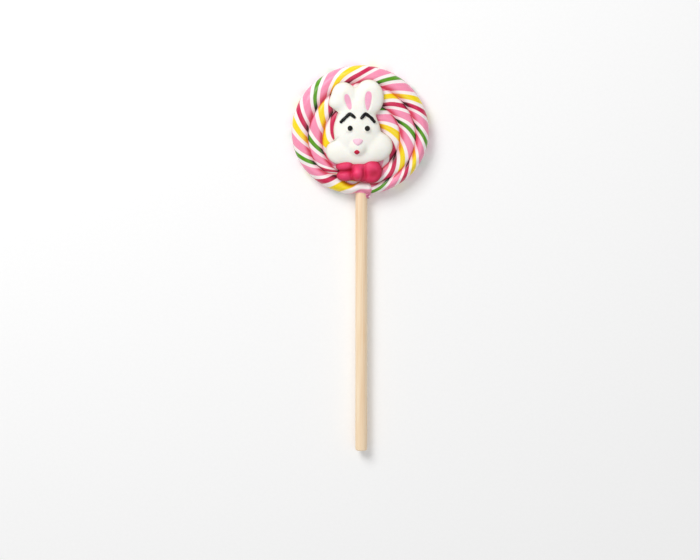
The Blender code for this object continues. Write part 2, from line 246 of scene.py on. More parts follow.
# %% Twist along the rope
TWIST = (
    (0, 0.44),
    (10, 0.455),
    (20, 0.49),
    (28, 0.5625),
    (43, 0.75),
    (55, 0.92),
    (95, 1.54),
    (135, 2.15),
    (166, 2.56),
    (188, 2.75),
    (245, 3.57),
    (305, 4.48),
    (345, 5.09),
    (424, 5.98),
    (464, 6.43),
    (494, 6.71),
    (584, 7.57),
    (644, 8.25),
    (694, 8.81),
    (799, 9.68),
    (849, 9.88),
    (959, 10.27),
    (1019, 10.73),
    (1800, 15.1),
)
TWIST_AT, TWIST_TURNS = np.radians([row[0] for row in TWIST]), [row[1] for row in TWIST]
TWIST_SAMPLES, TWIST_WINDOW = 3601, 41
QUARTER = 0.25
STRANDS = 5
STRAND_RELIEF = 0.24
# A stripe's slant over the face, at angles along the rope, and where a flank begins: on the
# free outer side, on a side that another turn covers, and on the inner side.
SLANT_AT = np.radians((28, 43, 75, 108, 135, 166, 190, 220, 700, 820, 940))
FACE_SLANTS = (0.06, 0.085, 0.14, 0.165, 0.19, 0.2, 0.18, 0.14, 0.14, 0.17, 0.1)
FREE_FLANK, COVERED_FLANK, INNER_FLANK, HURRY_POWER = 0.9, 0.97, 0.86, 1.5


def twist(along):
    """Turns of the rope about its own line: straight between the pairs, then softened.

    The softening is a weighted mean over a window of samples. The line is carried on past
    both ends, mirrored in its end points, so that the ends keep their places.
    """
    fine = np.linspace(0, TWIST_AT[-1], TWIST_SAMPLES)
    straight = np.interp(fine, TWIST_AT, TWIST_TURNS)
    window, half = np.hanning(TWIST_WINDOW), TWIST_WINDOW // 2
    before = 2 * straight[0] - straight[half:0:-1]
    after = 2 * straight[-1] - straight[-2 : -half - 2 : -1]
    padded = np.concatenate([before, straight, after])
    return np.interp(along, fine, np.convolve(padded, window / window.sum(), "valid"))


def stripe_turns(along, around, covered):
    """Turns of a stripe: the twist, plus a quarter less the slant times x on the front.

    Here x is the cosine of the angle around the rope. A pressed face shows only part of the
    rope's round, so a stripe crosses it nearly straight and hurries round the flank, in the
    last angle before the equator. The back mirrors the front.
    """
    x = np.cos(around)
    slant = np.interp(along, SLANT_AT, FACE_SLANTS)
    outer_flank = FREE_FLANK + (COVERED_FLANK - FREE_FLANK) * covered
    flank = np.arccos(np.where(x > 0, outer_flank, INNER_FLANK))
    hurry = np.clip(1 - np.arccos(np.clip(np.abs(x), 0, 1)) / flank, 0, 1) ** HURRY_POWER
    face = QUARTER - slant * x - (QUARTER - slant) * hurry * np.sign(x)
    return twist(along) + np.where(np.sin(around) >= 0, face, 1 - face)


print("twists in the outer turn:", round(float(twist(math.tau) - twist(0.0)), 2))

# %% [markdown]
# ## The candy rope
# A warm rope sags on the table it is coiled on. Its back is flat with shallow grooves and
# its front stays domed, and the turns weld to each other where they touch. So the section
# is not a circle: it falls from its crest to 0.68 of that height in the groove, and only the
# outermost flank is round all the way down. Sweeping this section along the coil gives one
# closed skin with the stripes' own coordinates on it, which a bent cylinder would not.

# %% Sweep the section along the coil
# Lengths are in millimetres, and angles are counted along the rope from its outer end.
HALF_THICKNESS = 5.2
GROOVE_SHARE = 0.68
BACK_FULLNESS = 1.16
TIP_START, TIP_LENGTH = math.radians(-3.5), math.radians(5)
TIP_BLEND, TIP_WIDTH = math.radians(36), 7.0
TAIL_WIDTH, TAIL_END = 5.0, TURNS * math.tau + 1.94 * math.pi
COVERED_FROM, COVERED_OVER = math.radians(352), math.radians(12)
PRESSED_AT, PRESSED_WIDTH = math.radians(372), math.radians(14)
PRESSED_SHARE, PRESSED_MORE, PRESSED_SHIFT = 0.42, 0.1, 0.6
WELD = 0.08
STICK_RADIUS, STICK_COVER, STICK_X = 3.15, 3.45, 0.25
STICK_COVER_TOP, STICK_COVER_FADE = -4, 4
# Where the painted groove shade begins on the inner side, and its powers on the inner and outer
# sides.
INNER_SHADE_FROM, INNER_SHADE_POWER, OUTER_SHADE_POWER = 0.35, 2.2, 6
ROPE_ROWS, ROPE_COLUMNS, TIP_ROWS = 1500, 64, 14


def rope_surface(along, around):
    """Points of the rope's skin, the painted groove shade of each, and its stripe.

    With x the cosine of the angle around the section, the height is the crest times a groove
    share plus the rest times the square root of 1 - x squared, less the relief of the
    strands, which is one less the absolute cosine of five half turns of the twist. Where
    the stick lies in the sugar, the height is no less than the stick's own and a skin over it.
    The second turn is pressed down where the rope's outer end lies on it, and neighbouring
    turns overlap by the weld.
    """
    outer, inner = rope_edge(along), rope_edge(along + math.tau)
    t = smooth_step(along / TIP_BLEND)
    inner = np.where(along < TIP_BLEND, (outer - TIP_WIDTH) * (1 - t) + inner * t, inner)
    tip = np.sqrt(np.clip(1 - (1 - np.clip((along - TIP_START) / TIP_LENGTH, 0, 1)) ** 2, 0, 1))
    tail = np.clip((outer - inner) / TAIL_WIDTH, 0.0, 1.0) ** 0.5
    x, y = np.cos(around), np.sin(around)
    covered = smooth_step((along - COVERED_FROM) / COVERED_OVER)
    pressed = np.exp(-(((along - PRESSED_AT) / PRESSED_WIDTH) ** 2))
    pressed = pressed * (PRESSED_SHARE + PRESSED_MORE * smooth_step(x + PRESSED_SHIFT))
    low = GROOVE_SHARE * np.where(x > 0, covered, smooth_step(along / TIP_BLEND))
    low = np.where(y < 0, np.maximum(low, GROOVE_SHARE * covered), low)
    dome = np.abs(y)
    stripes = stripe_turns(along, around, covered)
    strand = np.abs(np.cos(math.pi * STRANDS * stripes))
    relief = STRAND_RELIEF / HALF_THICKNESS * (1 - strand) * dome**0.5
    share = (low + (1 - low) * dome - relief) * tip * tail * (1 - np.where(y > 0, pressed, 0))
    height = HALF_THICKNESS * np.where(y >= 0, share, -np.minimum(share * BACK_FULLNESS, 1.0))
    middle, half = (outer + inner) / 2, (outer - inner) / 2 * tip
    half = half + WELD * tip * np.where(x > 0, covered, 1.0)
    r = middle + half * x
    angle = along + ROPE_END
    across, up = r * np.sin(angle), r * np.cos(angle)
    cover = np.sqrt(np.clip(STICK_COVER**2 - (across - STICK_X) ** 2, 0, None))
    cover = cover * smooth_step((STICK_COVER_TOP - up) / STICK_COVER_FADE)
    height = np.where((y > 0) & (tip > 0.99), np.maximum(height, cover), height)
    points = np.stack([across, up, HALF_THICKNESS + height], -1)
    # Painted shade: darker over the rope's inner side and, where another turn covers it, at the
    # outer side near the groove.
    inner_shade = np.clip((INNER_SHADE_FROM - x) / (INNER_SHADE_FROM + 1), 0, 1)
    outer_shade = np.where(x > 0, np.abs(x) ** OUTER_SHADE_POWER * covered, 0.0)
    return points, np.maximum(outer_shade, inner_shade**INNER_SHADE_POWER), stripes


lap_rows = np.linspace(TIP_START + TIP_LENGTH, TAIL_END, ROPE_ROWS)[1:]
tip_rows = TIP_START + TIP_LENGTH * (1 - np.cos(np.linspace(0.06, math.pi / 2, TIP_ROWS)))
along = np.concatenate([tip_rows, lap_rows])[:, None]
around = np.linspace(0, math.tau, ROPE_COLUMNS + 1)[None, :]
rope_points, rope_groove_shade, rope_turns = rope_surface(along, around)
rope_turns[:, -1] = rope_turns[:, 0] + 1
walk = np.linalg.norm(np.diff(rope_points.mean(axis=1), axis=0), axis=1)
length = np.concatenate([[0.0], np.cumsum(walk)])
rope_stripes = np.stack([np.broadcast_to(length[:, None], rope_groove_shade.shape), rope_turns], -1)
rope_ends = rope_points[[0, -1], :-1].mean(axis=1)
twisted_candy = skin(
    "twisted_candy", rope_points[:, :-1], rope_ends, rope_stripes, rope_groove_shade[:, :-1]
)
print("length of the rope in mm:", round(float(length[-1])))

# %% [markdown]
# ## Boiled sugar
# Boiled sugar is a clear glass when it is left alone. Here it was pulled until fine air made it
# milky, coloured in the mass, laid up as sticks round a white core and drawn into a rope. To
# the eye that is a smooth, hard, satin gloss with colour that goes on below the surface. The
# stripes are painted along the rope's own coordinates twice: once pale, as on the crests, and
# once in a painted shade, much deeper, for where two turns meet. The groove's depth chooses
# between them.


# %% Striped sugar
WHITE, PINK, RED, GREEN, YELLOW = "fdf2f0", "f893b4", "cf1f52", "589a06", "f9da0c"
# Painted shade of each stripe colour, mixed in towards the grooves.
GROOVE_SHADES = {WHITE: "f0c2c8", PINK: "da4460", RED: "48000e", GREEN: "062002", YELLOW: "e88a00"}
# Each stripe: its middle and half its width, both in turns, and its colour.
STRIPES = (
    (0.0, 0.045, RED),
    (0.205, 0.076, PINK),
    (0.403, 0.038, GREEN),
    (0.60, 0.076, PINK),
    (0.8125, 0.052, YELLOW),
    (1.0, 0.045, RED),
)
EDGE_SOFTNESS = 0.012
SILK_LENGTH, SILK_LINES = 8.33, 26.0


def stripe_stops(shades):
    """Stops of a colour ramp over one twist: white between stripes, each edge a short blend."""
    stops = []
    for middle, half, code in STRIPES:
        for place, shade in (
            (middle - half - EDGE_SOFTNESS, WHITE),
            (middle - half, code),
            (middle + half, code),
            (middle + half + EDGE_SOFTNESS, WHITE),
        ):
            if 0.0 <= place <= 1.0:
                stops.append((place, shades.get(shade, shade)))
    return [(0.0, shades.get(RED, RED)), *stops, (1.0, shades.get(RED, RED))]


def pulled_sugar(name):
    """The striped sugar of the rope, on the UV map of millimetres along and turns around.

    The pulled air shows as silk: lines about 8 mm long, 26 of them round the rope, partly real
    streaks and partly a painted satin sheen that whitens them a little. A painted groove shade
    is mixed in by the depth attribute. The edges of the stripes wander over about 14 mm, and
    clouds of about 4 mm dull the gloss.
    """
    made, tree, shader = blank_material(name)
    rope = node(tree, "UVMap", uv_map="rope").outputs["UV"]
    place = node(tree, "TexCoord").outputs["Object"]
    split = node(tree, "SeparateXYZ", {0: rope})
    wander = node(tree, "TexNoise", {"Vector": place, "Scale": per_metre(14.3), "Detail": 1.0})
    shift = node(tree, "MapRange", {0: wander.outputs[0], 3: -0.018, 4: 0.018})
    turns = node(tree, "Math", {0: split.outputs[1], 1: shift.outputs[0]}, operation="ADD")
    turn = node(tree, "Math", {0: turns.outputs[0]}, operation="FRACT")
    pale = node(tree, "ValToRGB", {0: turn.outputs[0]}, stripe_stops({}))
    # The second ramp is the painted groove shade, and the depth attribute mixes it in.
    painted_shade_colour = node(tree, "ValToRGB", {0: turn.outputs[0]}, stripe_stops(GROOVE_SHADES))
    depth = node(tree, "Attribute", attribute_name="depth").outputs["Fac"]
    groove = node(
        tree, "MapRange", {0: depth, 1: 0.1, 2: 0.72}, interpolation_type="SMOOTHSTEP"
    )
    hue = node(
        tree,
        "Mix",
        {0: groove.outputs[0], MIX_A: pale.outputs[0], MIX_B: painted_shade_colour.outputs[0]},
        data_type="RGBA",
    )
    long = node(tree, "Math", {0: split.outputs[0], 1: SILK_LENGTH}, operation="DIVIDE")
    wide = node(tree, "Math", {0: split.outputs[1], 1: SILK_LINES}, operation="MULTIPLY")
    lines = node(tree, "CombineXYZ", {0: long.outputs[0], 1: wide.outputs[0]})
    silk = node(tree, "TexNoise", {"Vector": lines.outputs[0], "Scale": 1.0, "Detail": 3.0})
    # Partly the real silk streaks of the pulled air, partly a painted satin sheen: the silk
    # whitens the colour a little.
    silk_sheen = node(tree, "MapRange", {0: silk.outputs[0], 1: 0.5, 2: 0.85, 4: 0.12})
    streaked = node(
        tree,
        "Mix",
        {0: silk_sheen.outputs[0], MIX_A: hue.outputs[MIX_RESULT], MIX_B: colour("fff4f6")},
        data_type="RGBA",
    )
    cloud = node(tree, "TexNoise", {"Vector": place, "Scale": per_metre(3.85), "Detail": 3.0})
    dull = node(tree, "MapRange", {0: cloud.outputs[0], 3: 0.2, 4: 0.36})
    lift = node(
        tree, "Bump", {"Strength": 0.2, "Distance": 0.12 * MM, "Height": silk.outputs[0]}
    )
    tree.links.new(streaked.outputs[MIX_RESULT], shader.inputs["Base Color"])
    tree.links.new(dull.outputs[0], shader.inputs["Roughness"])
    tree.links.new(lift.outputs[0], shader.inputs["Normal"])
    shader.inputs["IOR"].default_value = 1.5
    shader.inputs["Specular IOR Level"].default_value = 0.35
    shader.inputs["Subsurface Weight"].default_value = 0.12
    shader.inputs["Subsurface Radius"].default_value = (1.0, 0.4, 0.4)
    shader.inputs["Subsurface Scale"].default_value = 1.2 * MM
    return made


finish(twisted_candy, pulled_sugar("pulled_boiled_sugar"), "striped_candy", "candy_swirl")
print("stripes in one twist:", len(STRIPES) - 1)

# %% [markdown]
# ## Icing that has run together
# Stiff icing is piped in blobs that touch and melt into each other before they dry. One
# smooth surface does that best: each blob is a half ellipsoid, the square of its height
# is summed softly with that of the others, and the root gives the height of the whole. The
# skin is a polar grid about a middle point, and under its widest line it turns back to a
# flat underside, as a drop of icing does on the sugar it was piped on.

# %% Soft sum of blobs
CREST = 2 * HALF_THICKNESS
BASE = CREST + 0.3
SINK = 1.2
BLOB_COLUMNS, BLOB_ROWS, FOOT_ROWS, HALVINGS = 288, 110, 9, 40
CALM_HEIGHT = 2.2
# How deep a pressed crease must be for its painted shade to be full, and the power of the
# painted edge shade.
CREASE_SHADE_DEPTH, EDGE_SHADE_POWER = 1.6, 1.6
WAVES = 7
# Each blob: middle x and y, half width, half length and height in mm, and tilt in degrees.
RABBIT_BLOBS = (
    (-2.0, -0.8, 12.1, 13.4, 6.4, 17),
    (-2.2, 10.6, 9.1, 6.4, 4.8, 0),
    (-8.6, 17.2, 6.6, 7.6, 4.4, 14),
    (-12.1, 14.7, 4.7, 3.9, 4.1, 24),
    (4.1, 16.8, 7.7, 9.3, 4.6, 2),
    (-11.2, -11.5, 7.1, 6.1, 5.0, -25),
    (8.3, -8.7, 8.2, 7.4, 5.2, 22),
    (-2.1, -11.9, 12.7, 6.4, 4.3, 0),
    (-1.7, -8.0, 6.0, 6.2, 7.0, 0),
    (-6.1, 0.4, 3.0, 3.0, 6.9, 0),
    (3.0, 0.4, 3.2, 3.1, 6.9, 0),
)
BOW_BLOBS = (
    (-8.3, -18.6, 4.8, 2.7, 4.5, 8),
    (-8.0, -23.6, 4.8, 3.0, 4.1, 2),
    (5.6, -21.5, 5.4, 6.2, 4.8, 0),
    (-1.8, -22.0, 3.5, 4.3, 5.9, 0),
    (-1.2, -19.4, 6.4, 2.2, 3.8, 0),
    (-0.8, -24.4, 7.4, 2.3, 2.8, -4),
)
# Hollows pressed into the icing: middle, half sizes, depth, tilt, and how steep the edge is.
RABBIT_HOLLOWS = (
    (-6.6, 14.8, 1.8, 4.5, 0.55, 16, 6),
    (3.7, 15.2, 1.9, 5.3, 0.55, -4, 6),
)
BOW_HOLLOWS = (
    (7.0, -22.6, 3.6, 3.0, 1.0, 20, 2),
    (2.2, -22.6, 0.9, 4.2, 0.9, 6, 2),
    (-8.4, -21.2, 4.6, 0.8, 0.7, 8, 2),
    (-4.9, -21.8, 0.8, 3.6, 0.5, -8, 2),
)


def squared_height(x, y, blobs, softness):
    """Soft sum of blobs: softness times the log of the sum of exp(q / softness).

    For one blob, q is its height squared times 1 less the squared distance from its middle,
    counted in its own half widths. It is above 0 inside the icing and below 0 outside.
    """
    parts = []
    for bx, by, width, length, height, tilt in blobs:
        c, s = math.cos(math.radians(tilt)), math.sin(math.radians(tilt))
        u = ((x - bx) * c + (y - by) * s) / width
        v = ((y - by) * c - (x - bx) * s) / length
        parts.append((height - SINK) ** 2 * (1 - u * u - v * v))
    parts = np.stack(parts)
    top = parts.max(axis=0)
    return top + softness * np.log(np.exp((parts - top) / softness).sum(axis=0))


def reach(angle, middle, level, blobs, softness, far=34.0):
    """Distance from the middle at which the soft sum falls to a level, found by halving."""
    near, beyond = np.zeros_like(angle), np.full_like(angle, far)
    for _ in range(HALVINGS):
        r = (near + beyond) / 2
        x, y = middle[0] + r * np.sin(angle), middle[1] + r * np.cos(angle)
        inside = squared_height(x, y, blobs, softness) > level
        near, beyond = np.where(inside, r, near), np.where(inside, beyond, r)
    return near


def unevenness(x, y, size, seed):
    """Mean of seven long waves of seeded directions, lengths and phases, from -1 to 1."""
    dice = np.random.default_rng(seed)
    total = np.zeros_like(x)
    for _ in range(WAVES):
        turn, phase = dice.uniform(0, math.tau, 2)
        wave = size * dice.uniform(0.7, 1.6)
        total += np.sin((x * math.cos(turn) + y * math.sin(turn)) * math.tau / wave + phase)
    return total / WAVES


def hollow(x, y, hollows):
    """Depth pressed in: each is its depth times exp(-d^power), d counted in half sizes."""
    total = np.zeros_like(x)
    for hx, hy, width, length, depth, tilt, power in hollows:
        c, s = math.cos(math.radians(tilt)), math.sin(math.radians(tilt))
        u = ((x - hx) * c + (y - hy) * s) / width
        v = ((y - hy) * c - (x - hx) * s) / length
        total += depth * np.exp(-((u * u + v * v) ** (power / 2)))
    return total


def relief(x, y, wave, amount, seed, hollows):
    """The small unevenness of a blob less its hollows."""
    return unevenness(x, y, wave, seed) * amount - hollow(x, y, hollows)


def blob_piece(name, blobs, softness, middle, details, shaded=2.6):
    """The closed skin over a set of blobs, from the top, round the rim, to the flat base.

    The depth attribute carries a painted shade for the material: it is 1 at the rim and 0 at
    the shaded height, and the pressed hollows count as well. The unevenness fades out where the
    icing is thin.
    """
    angle = np.linspace(0, math.tau, BLOB_COLUMNS, endpoint=False)
    rim = reach(angle, middle, 0.0, blobs, softness)
    foot = reach(angle, middle, SINK * SINK, blobs, softness)
    rise = np.sin(np.linspace(0.01, math.pi / 2, BLOB_ROWS))[:, None]
    over = rim * rise
    x, y = middle[0] + over * np.sin(angle), middle[1] + over * np.cos(angle)
    q = np.clip(squared_height(x, y, blobs, softness), 0, None)
    q[-1] = 0.0
    height = np.sqrt(q)
    bumps = relief(x, y, *details) * smooth_step(height / CALM_HEIGHT)
    top = np.stack([x, y, BASE + SINK + height + bumps], -1)
    fall = np.linspace(0, 1, FOOT_ROWS)[1:, None]
    under = rim + (foot - rim) * (1 - np.sqrt(1 - fall**2))
    x, y = middle[0] + under * np.sin(angle), middle[1] + under * np.cos(angle)
    side = np.stack([x, y, np.broadcast_to(BASE + SINK * (1 - fall), x.shape)], -1)
    flat = foot * np.linspace(0.9, 0.1, FOOT_ROWS)[:, None]
    x, y = middle[0] + flat * np.sin(angle), middle[1] + flat * np.cos(angle)
    below = np.stack([x, y, np.full_like(x, BASE)], -1)
    points = np.concatenate([top, side, below])
    ends = (points[0].mean(axis=0), (middle[0], middle[1], BASE))
    # Painted shade: darker towards the rim, up to the shaded height, and in the pressed
    # hollows.
    edge = np.clip(1 - (points[..., 2] - BASE - SINK) / shaded, 0, 1) ** EDGE_SHADE_POWER
    pressed = np.clip(-bumps / CREASE_SHADE_DEPTH, 0, 1)
    edge[: len(pressed)] = np.maximum(edge[: len(pressed)], pressed)
    return skin(name, points, ends, depth=edge)


RABBIT_SOFTNESS, BOW_SOFTNESS = 3.0, 1.2
RABBIT_MIDDLE, BOW_MIDDLE = (-2.0, 3.0), (-1.4, -21.8)
# The length of the waves and their height in mm, the seed, and the hollows.
RABBIT_RELIEF = (7.0, 0.09, 4, RABBIT_HOLLOWS)
BOW_RELIEF = (4.0, 0.1, 9, BOW_HOLLOWS)
# The bow's painted shade reaches over its whole height: lighter on its crests as if lit from
# above, deeper towards the rim.
BOW_SHADED = 5.0
rabbit_icing = blob_piece(
    "rabbit_icing", RABBIT_BLOBS, RABBIT_SOFTNESS, RABBIT_MIDDLE, RABBIT_RELIEF
)
bow_icing = blob_piece(
    "bow_icing", BOW_BLOBS, BOW_SOFTNESS, BOW_MIDDLE, BOW_RELIEF, BOW_SHADED
)


def on_rabbit(x, y):
    """Height of the rabbit's icing at a place, in millimetres."""
    height = np.sqrt(np.clip(squared_height(x, y, RABBIT_BLOBS, RABBIT_SOFTNESS), 0, None))
    bumps = relief(x, y, *RABBIT_RELIEF) * smooth_step(height / CALM_HEIGHT)
    return BASE + SINK + height + bumps


muzzle = on_rabbit(np.array(-1.7), np.array(-8.0))
print("height of the muzzle in mm:", float(muzzle.round(2)))

# %% [markdown]
# ## Small spots of icing
# Inner ears, nose, mouth and pupils are small pressed or dropped bits of coloured
# icing. Each follows the white icing below it, so its height is that of the rabbit plus a low
# dome. The outline is a superellipse whose width changes with its length, which
# gives an ear's drop, a nose's soft triangle, a mouth's diamond and a round pupil.

# %% Spots that lie on the rabbit
# Each spot: its name, middle x and y, half width, half length and rise in mm, tilt in
# degrees, the power of its outline and its taper.
SPOTS = (
    ("ear_inside_left_icing", -6.6, 14.7, 1.45, 4.1, 0.3, 16, 2.4, 0.12),
    ("ear_inside_right_icing", 3.7, 15.2, 1.6, 5.0, 0.3, -4, 2.2, 0.36),
    ("nose_icing_drop", -1.6, -5.9, 2.4, 1.75, 0.8, 0, 2.1, 0.45),
    ("mouth_icing_drop", -2.1, -11.2, 1.55, 1.3, 0.8, 0, 1.35, 0.0),
    ("pupil_left_icing", -5.6, 1.2, 1.36, 1.4, 1.15, 0, 2.0, 0.0),
    ("pupil_right_icing", 3.3, 1.1, 1.4, 1.4, 1.15, 0, 2.0, 0.0),
)
SPOT_SINK = 0.7
SPOT_COLUMNS, SPOT_ROWS, POLE_GAP = 64, 34, 0.04


def spot_piece(name, x, y, width, length, rise, tilt, power, taper):
    """A low dome: rise times the cosine of t over an outline times the sine of t.

    The outline is 1 / (|sin|^p + |cos|^p)^(1/p), and its width grows by the taper times
    the length along it. Below the widest line the dome sinks into the white icing.
    """
    angle = np.linspace(0, math.tau, SPOT_COLUMNS, endpoint=False)
    outline = (np.abs(np.sin(angle)) ** power + np.abs(np.cos(angle)) ** power) ** (-1 / power)
    t = np.linspace(POLE_GAP, math.pi - POLE_GAP, SPOT_ROWS)[:, None]
    u, v = outline * np.sin(t) * np.sin(angle), outline * np.sin(t) * np.cos(angle)
    u = u * (1 + taper * v) * width
    v = v * length
    c, s = math.cos(math.radians(tilt)), math.sin(math.radians(tilt))
    px, py = x + u * c - v * s, y + u * s + v * c
    lift = np.where(np.cos(t) > 0, rise, SPOT_SINK) * np.cos(t)
    points = np.stack([px, py, on_rabbit(px, py) + lift], -1)
    ground = float(on_rabbit(np.array(x), np.array(y)))
    return skin(name, points, ((x, y, ground + rise), (x, y, ground - SPOT_SINK)))


spots = {row[0]: spot_piece(*row) for row in SPOTS}

# %% [markdown]
# ## Piped brows
# A brow is a short thread of black icing from a fine nozzle, bent once. That is a profile
# carried along a path: circles set square to the line, narrowing to a round end where the
# nozzle was lifted. The path is laid on the rabbit's height, so it follows the forehead.

# %% Threads of black icing
BROW_PATHS = {
    "brow_left_icing": ((-10.9, 3.9), (-8.3, 6.4), (-5.8, 8.8), (-3.6, 7.1), (-2.9, 6.4)),
    "brow_right_icing": ((-0.2, 5.9), (0.5, 6.7), (2.3, 8.8), (5.2, 6.6), (7.4, 3.9)),
}
BROW_RADIUS, BROW_RISE = 0.84, 0.42
BROW_ROWS, BROW_COLUMNS, BEND_WINDOW = 61, 24, 9
# The thread swells and thins by a share of its radius, in waves along it.
SWELL_SHARE, SWELL_PACE = 0.08, 2.1


def thread(name, corners):
    """Circles along a softened line: radius times the square root of 1 - (1 - s / radius)^2.

    Here s is the distance to the nearer end, and beyond one radius the thread is full.
    """
    corners = np.array(corners)
    pace = np.concatenate([[0.0], np.cumsum(np.linalg.norm(np.diff(corners, axis=0), axis=1))])
    s = np.linspace(0, pace[-1], BROW_ROWS)
    line = np.stack([np.interp(s, pace, corners[:, i]) for i in (0, 1)], -1)
    window = np.hanning(BEND_WINDOW) / np.hanning(BEND_WINDOW).sum()
    soft = np.stack([np.convolve(line[:, i], window, "same") for i in (0, 1)], -1)
    inside = slice(BEND_WINDOW // 2, -(BEND_WINDOW // 2))
    line[inside] = soft[inside]
    near_end = np.minimum(s, s[-1] - s) + 0.03
    radius = BROW_RADIUS * np.sqrt(1 - (1 - np.clip(near_end / BROW_RADIUS, 0, 1)) ** 2)
    radius = radius * (1 + SWELL_SHARE * np.sin(s * SWELL_PACE + len(name)))
    centre = np.column_stack([line, on_rabbit(line[:, 0], line[:, 1]) + BROW_RISE])
    forward = np.gradient(centre, axis=0)
    forward /= np.linalg.norm(forward, axis=1, keepdims=True)
    side = np.cross(forward, (0.0, 0.0, 1.0))
    side /= np.linalg.norm(side, axis=1, keepdims=True)
    up = np.cross(side, forward)
    turn = np.linspace(0, math.tau, BROW_COLUMNS, endpoint=False)[None, :, None]
    spokes = np.cos(turn) * side[:, None] + np.sin(turn) * up[:, None]
    return skin(name, centre[:, None] + spokes * radius[:, None, None], centre[[0, -1]])


brows = {name: thread(name, corners) for name, corners in BROW_PATHS.items()}

# %% [markdown]
# ## Royal icing
# The icing is powdered sugar beaten with egg white and dried in air. It is opaque and
# almost matt, with a very fine sugar grain and soft hollows, and thin edges glow a little.
# One function makes it in every colour. Its clouds are 5.5 mm wide. The grain is drawn at
# 0.36 mm, coarser than the real powder, so that it shows at all.


# %% Icing in several colours
def royal_icing(name, shade, shadow, painted_shade_colour, roughness=0.5, grain=0.25, glow=0.12):
    """Dried icing: soft clouds of two near shades, a painted shade at the rim and in creases,
    and a fine grain.
    """
    made, tree, shader = blank_material(name)
    place = node(tree, "TexCoord").outputs["Object"]
    cloud = node(tree, "TexNoise", {"Vector": place, "Scale": per_metre(5.55), "Detail": 3.0})
    hue = node(
        tree, "ValToRGB", {0: cloud.outputs[0]}, ((0.3, shadow), (0.62, shade), (1.0, shade))
    )
    # Painted shade: the painted shade colour is mixed in where the depth attribute is high.
    depth = node(tree, "Attribute", attribute_name="depth").outputs["Fac"]
    edge = node(
        tree,
        "Mix",
        {0: depth, MIX_A: hue.outputs[0], MIX_B: colour(painted_shade_colour)},
        data_type="RGBA",
    )
    sugar = node(tree, "TexNoise", {"Vector": place, "Scale": per_metre(0.357), "Detail": 2.0})
    dull = node(
        tree, "MapRange", {0: sugar.outputs[0], 3: roughness - 0.08, 4: roughness + 0.1}
    )
    lift = node(
        tree, "Bump", {"Strength": grain, "Distance": 0.1 * MM, "Height": sugar.outputs[0]}
    )
    tree.links.new(edge.outputs[MIX_RESULT], shader.inputs["Base Color"])
    tree.links.new(dull.outputs[0], shader.inputs["Roughness"])
    tree.links.new(lift.outputs[0], shader.inputs["Normal"])
    shader.inputs["IOR"].default_value = 1.45
    shader.inputs["Specular IOR Level"].default_value = 0.3
    shader.inputs["Subsurface Weight"].default_value = glow
    shader.inputs["Subsurface Radius"].default_value = (1.0, 0.7, 0.5)
    shader.inputs["Subsurface Scale"].default_value = 1.0 * MM
    return made


# The last colour of each icing is its painted shade, for the rim and creases.
white_icing = royal_icing("white_royal_icing", "fbfaf3", "f6f4e9", "e2dcc8")
pink_icing = royal_icing("pink_royal_icing", "fbb6d0", "f8a8c8", "e2789c")
nose_icing = royal_icing("pale_pink_royal_icing", "fbcfe0", "f9c4d8", "e89cb8")
mouth_icing = royal_icing("red_gel_icing", "cf1f44", "bc1638", "900824", roughness=0.35)
black_icing = royal_icing(
    "black_royal_icing", "0b0b0c", "050505", "020202", roughness=0.34, glow=0.0
)
bow_sugar = royal_icing("raspberry_royal_icing", "fd4f82", "ec3060", "a0001e", roughness=0.45)
icings = (white_icing, pink_icing, nose_icing, mouth_icing, black_icing, bow_sugar)
print("icings:", ", ".join(icing.name for icing in icings))

finish(rabbit_icing, white_icing, "white_icing", "rabbit_body")
finish(bow_icing, bow_sugar, "red_icing", "bow_tie")
finish(spots["ear_inside_left_icing"], pink_icing, "pink_icing", "ear_inside_left")
finish(spots["ear_inside_right_icing"], pink_icing, "pink_icing", "ear_inside_right")
finish(spots["nose_icing_drop"], nose_icing, "nose_icing", "nose")
finish(spots["mouth_icing_drop"], mouth_icing, "mouth_icing", "mouth")
finish(spots["pupil_left_icing"], black_icing, "black_icing", "pupil_left")
finish(spots["pupil_right_icing"], black_icing, "black_icing", "pupil_right")
finish(brows["brow_left_icing"], black_icing, "black_icing", "brow_left")
finish(brows["brow_right_icing"], black_icing, "black_icing", "brow_right")

# %% [markdown]
# ## The chip
# Where the rope was cut, a crumb of sugar broke off and stuck beside the stick. It is a
# small uneven lump: a sphere whose radius is pushed in and out by a few waves.

# %% Broken crumb of sugar
CHIP_PLACE = (3.6, -34.4, 6.3)
CHIP_RADII = (1.6, 1.8, 1.4)
CHIP_ROWS, CHIP_COLUMNS, CHIP_SEED = 22, 32, 3
CHIP_WAVE, CHIP_PUSH = 3.0, 0.1


def crumb(name, place, radii, seed):
    """A sphere with radius 1 plus a tenth of the seeded waves, scaled to three half sizes."""
    t = np.linspace(0.1, math.pi - 0.1, CHIP_ROWS)[:, None]
    p = np.linspace(0, math.tau, CHIP_COLUMNS, endpoint=False)[None, :]
    unit = np.stack([np.sin(t) * np.cos(p), np.sin(t) * np.sin(p), np.cos(t) + 0 * p], -1)
    u, v = unit[..., 0] * 3 + unit[..., 2], unit[..., 1] * 3 - unit[..., 2]
    push = 1 + CHIP_PUSH * unevenness(u, v, CHIP_WAVE, seed)
    points = np.array(place) + unit * push[..., None] * np.array(radii)
    poles = [np.array(place) + np.array((0, 0, side * radii[2])) for side in (1, -1)]
    return skin(name, points, poles)


chip = crumb("sugar_chip", CHIP_PLACE, CHIP_RADII, CHIP_SEED)
CHIP_SHADES = (
    (0.0, "fff6f6"),
    (0.46, "fbe9ee"),
    (0.56, "dd8cab"),
    (0.66, "a84a70"),
    (1.0, "8c2c50"),
)


